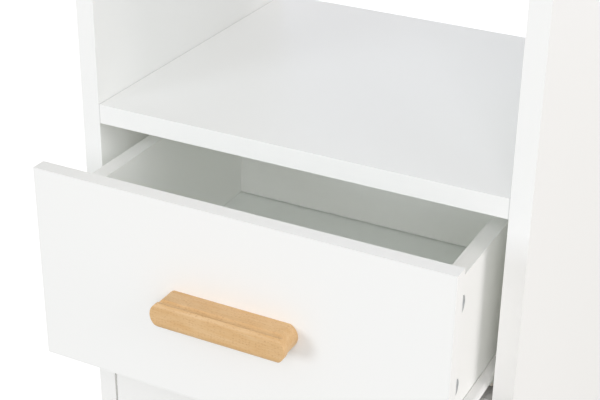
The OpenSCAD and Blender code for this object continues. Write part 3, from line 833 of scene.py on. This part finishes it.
@dataclass
class RollerSlides:
    """The two roller slides: a rail on each side panel, one on each drawer side, and four rollers.

    Attributes:
        rails: the nodes in white-coated steel.
        rollers: the nodes in nylon.
        steel: the nodes in plated steel.
    """

    rails: tuple[str, ...] = ("left_cabinet_rail", "right_cabinet_rail",
                              "left_drawer_rail", "right_drawer_rail")
    rollers: tuple[str, ...] = ("left_front_roller", "right_front_roller", "left_rear_roller",
                                "right_rear_roller")
    steel: tuple[str, ...] = ("cabinet_rail_screws", "drawer_rail_screws")

    def build(self) -> None:
        """Dresses the slides' nodes."""
        for node in self.rails:
            dress(node, EPOXY, STEEL_EDGE)
        for node in self.rollers:
            dress(node, NYLON, MOULD_EDGE)
        for node in self.steel:
            dress(node, ZINC, FINE_EDGE)


@dataclass
class Drawer:
    """The drawer's boards, floor, fittings and pull.

    Attributes:
        boards: the nodes in white board.
        steel: the nodes in plated steel.
    """

    boards: tuple[str, ...] = ("drawer_front", "drawer_left_side", "drawer_right_side", "drawer_back")
    steel: tuple[str, ...] = ("drawer_pull_screws", "drawer_bolts", "drawer_back_screws")

    def build(self) -> None:
        """Dresses the drawer's nodes and builds its pull in the middle of the front."""
        for node in self.boards:
            dress(node, Melamine(), BOARD_EDGE)
        dress("drawer_floor", Hardboard(RawFace.UNDER), SHEET_EDGE)
        dress("drawer_cams", CAST_ZINC, FINE_EDGE)
        for node in self.steel:
            dress(node, ZINC, FINE_EDGE)
        low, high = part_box("drawer_front")
        centre = ((low.x + high.x) / 2, low.y, (low.z + high.z) / 2)
        Pull("drawer_pull", "drawer", centre, Grain.ACROSS).build()


@dataclass
class Door:
    """A door with its upright pull, butt hinges and strike plate.

    Attributes:
        level: "lower" or "upper", with which its nodes' names begin.
    """

    level: str

    def build(self) -> None:
        """Dresses the door's nodes and builds its pull where the CAD node stands."""
        dress(f"{self.level}_door", Melamine(), BOARD_EDGE)
        for part in ("frame_leaves", "door_leaves", "hinge_pins"):
            dress(f"{self.level}_{part}", NICKEL, FINE_EDGE)
        for part in ("pull_screws", "hinge_screws", "strike"):
            dress(f"{self.level}_{part}", ZINC, FINE_EDGE)
        low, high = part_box(f"{self.level}_pull")
        centre = ((low.x + high.x) / 2, high.y, (low.z + high.z) / 2)
        Pull(f"{self.level}_pull", f"{self.level}_door", centre, Grain.UPRIGHT).build()


@dataclass
class Softbox:
    """A large soft light that faces a point of the tower.

    Attributes:
        name: the light's name.
        azimuth: direction it stands in, in degrees to the right of the front.
        elevation: its height above the aimed point, in degrees.
        distance: its distance from the aimed point.
        size: its width and height.
        glow: the brightness of its face, where 1 is white.
        tint: the colour of its light.
        aim: the point it faces.
    """

    name: str
    azimuth: float
    elevation: float
    distance: float
    size: tuple[float, float]
    glow: float
    tint: Triple
    aim: Triple = (0.0, -0.05, 0.85)

    def build(self) -> None:
        """Adds the light to the scene."""
        lamp = bpy.data.lights.new(self.name, "AREA")
        lamp.shape = "RECTANGLE"
        lamp.size, lamp.size_y = self.size
        lamp.energy = self.glow * math.pi * self.size[0] * self.size[1]
        lamp.color = self.tint
        round_by, up = math.radians(self.azimuth), math.radians(self.elevation)
        back = Vector((math.sin(round_by) * math.cos(up), -math.cos(round_by) * math.cos(up), math.sin(up)))
        stand = bpy.data.objects.new(self.name, lamp)
        stand.location = Vector(self.aim) + back * self.distance
        stand.rotation_euler = back.to_track_quat("Z", "Y").to_euler()
        stand.visible_camera = False
        bpy.context.scene.collection.objects.link(stand)


LIGHTS = (
    Softbox(name="left_softbox", azimuth=-28.0, elevation=14.0, distance=10.4, size=(3.2, 3.2),
            glow=8.7, tint=(0.85, 0.92, 1.0)),
    Softbox(name="front_softbox", azimuth=20.0, elevation=28.0, distance=10.4, size=(5.2, 5.2),
            glow=3.85, tint=(0.94, 0.915, 1.0)),
    Softbox(name="side_softbox", azimuth=92.0, elevation=8.0, distance=5.2, size=(2.6, 2.6),
            glow=4.23, tint=(1.0, 0.95, 0.97)),
    Softbox(name="high_softbox", azimuth=70.0, elevation=28.0, distance=10.4, size=(3.2, 3.2),
            glow=2.1, tint=(0.86, 0.96, 1.0)),
    Softbox(name="backdrop_glow", azimuth=180.0, elevation=12.0, distance=3.0, size=(4.0, 3.0),
            glow=0.76, tint=(0.67, 0.74, 1.0)),
)


@dataclass
class Studio:
    """The plain floor, the soft light and the camera.

    Attributes:
        place: where the camera stands.
        yaw: how far it is turned to the left from straight ahead, in degrees.
        pitch: how far it looks down, in degrees.
        roll: how far it is tilted about its own axis, in degrees.
        lens: its focal length for a 36 mm wide picture, in millimetres.
        reach: how far the floor reaches from the tower.
        bounces: how often the light is followed from surface to surface.
        sky: colour of the light from all round.
        ambient: brightness of the light from all round.
        backdrop: brightness of the surround where the camera sees it, above the floor's far edge.
    """

    place: Triple = (0.39745, -0.85929, 1.26124)
    yaw: float = 26.993
    pitch: float = 27.104
    roll: float = 0.761
    lens: float = 82.45
    reach: float = 30.0
    bounces: int = 20
    sky: Triple = (1.0, 0.98, 0.93)
    ambient: float = 0.55
    backdrop: float = 1.2

    def build(self) -> None:
        """Makes the camera, the lights, the floor and the light from all round."""
        self.set_camera()
        self.lay_floor()
        for light in LIGHTS:
            light.build()
        self.set_surround()
        scene = bpy.context.scene
        scene.cycles.max_bounces = scene.cycles.diffuse_bounces = self.bounces
        scene.view_settings.view_transform = "Standard"
        log.info("set up the studio")

    def set_surround(self) -> None:
        """Lights the tower from all round, and keeps what shows behind it white."""
        world = bpy.data.worlds.new("white_surround")
        world.use_nodes = True
        tree = world.node_tree
        sky = tree.nodes["Background"]
        sky.inputs["Color"].default_value = (*self.sky, 1.0)
        seen = tree.nodes.new("ShaderNodeLightPath").outputs["Is Camera Ray"]
        bright = tree.nodes.new("ShaderNodeMapRange")
        bright.inputs["To Min"].default_value = self.ambient
        bright.inputs["To Max"].default_value = self.backdrop
        tree.links.new(seen, bright.inputs["Value"])
        tree.links.new(bright.outputs["Result"], sky.inputs["Strength"])
        bpy.context.scene.world = world

    def set_camera(self) -> None:
        """Puts the camera where the photograph was taken from."""
        data = bpy.data.cameras.new("camera")
        data.lens, data.sensor_width = self.lens, 36.0
        camera = bpy.data.objects.new("camera", data)
        camera.matrix_world = (Matrix.Translation(self.place)
                               @ Matrix.Rotation(math.radians(self.yaw), 4, "Z")
                               @ Matrix.Rotation(math.radians(90.0 - self.pitch), 4, "X")
                               @ Matrix.Rotation(math.radians(self.roll), 4, "Z"))
        bpy.context.scene.collection.objects.link(camera)
        bpy.context.scene.camera = camera

    def lay_floor(self) -> None:
        """Lays a pale floor under the glides, out to where it meets the white surround."""
        bm = bmesh.new()
        bmesh.ops.create_circle(bm, cap_ends=True, segments=96, radius=self.reach)
        mesh = bpy.data.meshes.new("floor")
        bm.to_mesh(mesh)
        bm.free()
        floor = bpy.data.objects.new("floor", mesh)
        bpy.context.scene.collection.objects.link(floor)
        sh = Shader("pale_floor")
        cloud = sh.noise(sh.point(), 3.0, 3.0)
        colour = sh.blend(cloud, (0.86, 0.86, 0.86), (0.83, 0.83, 0.83))
        glow = (1.0, 0.99, 0.96)
        mesh.materials.append(sh.surface(Base_Color=colour, Roughness=0.6 + 0.1 * cloud,
                                         Emission_Color=glow, Emission_Strength=0.60))
        floor.visible_diffuse = floor.visible_glossy = False


def main() -> None:
    """Builds the studio and dresses the tower group by group."""
    logging.basicConfig(level=logging.INFO, format="%(message)s")
    Studio().build()
    Carcass().build()
    Fittings().build()
    RollerSlides().build()
    Drawer().build()
    Door("lower").build()
    Door("upper").build()


if __name__ == "__main__":
    main()
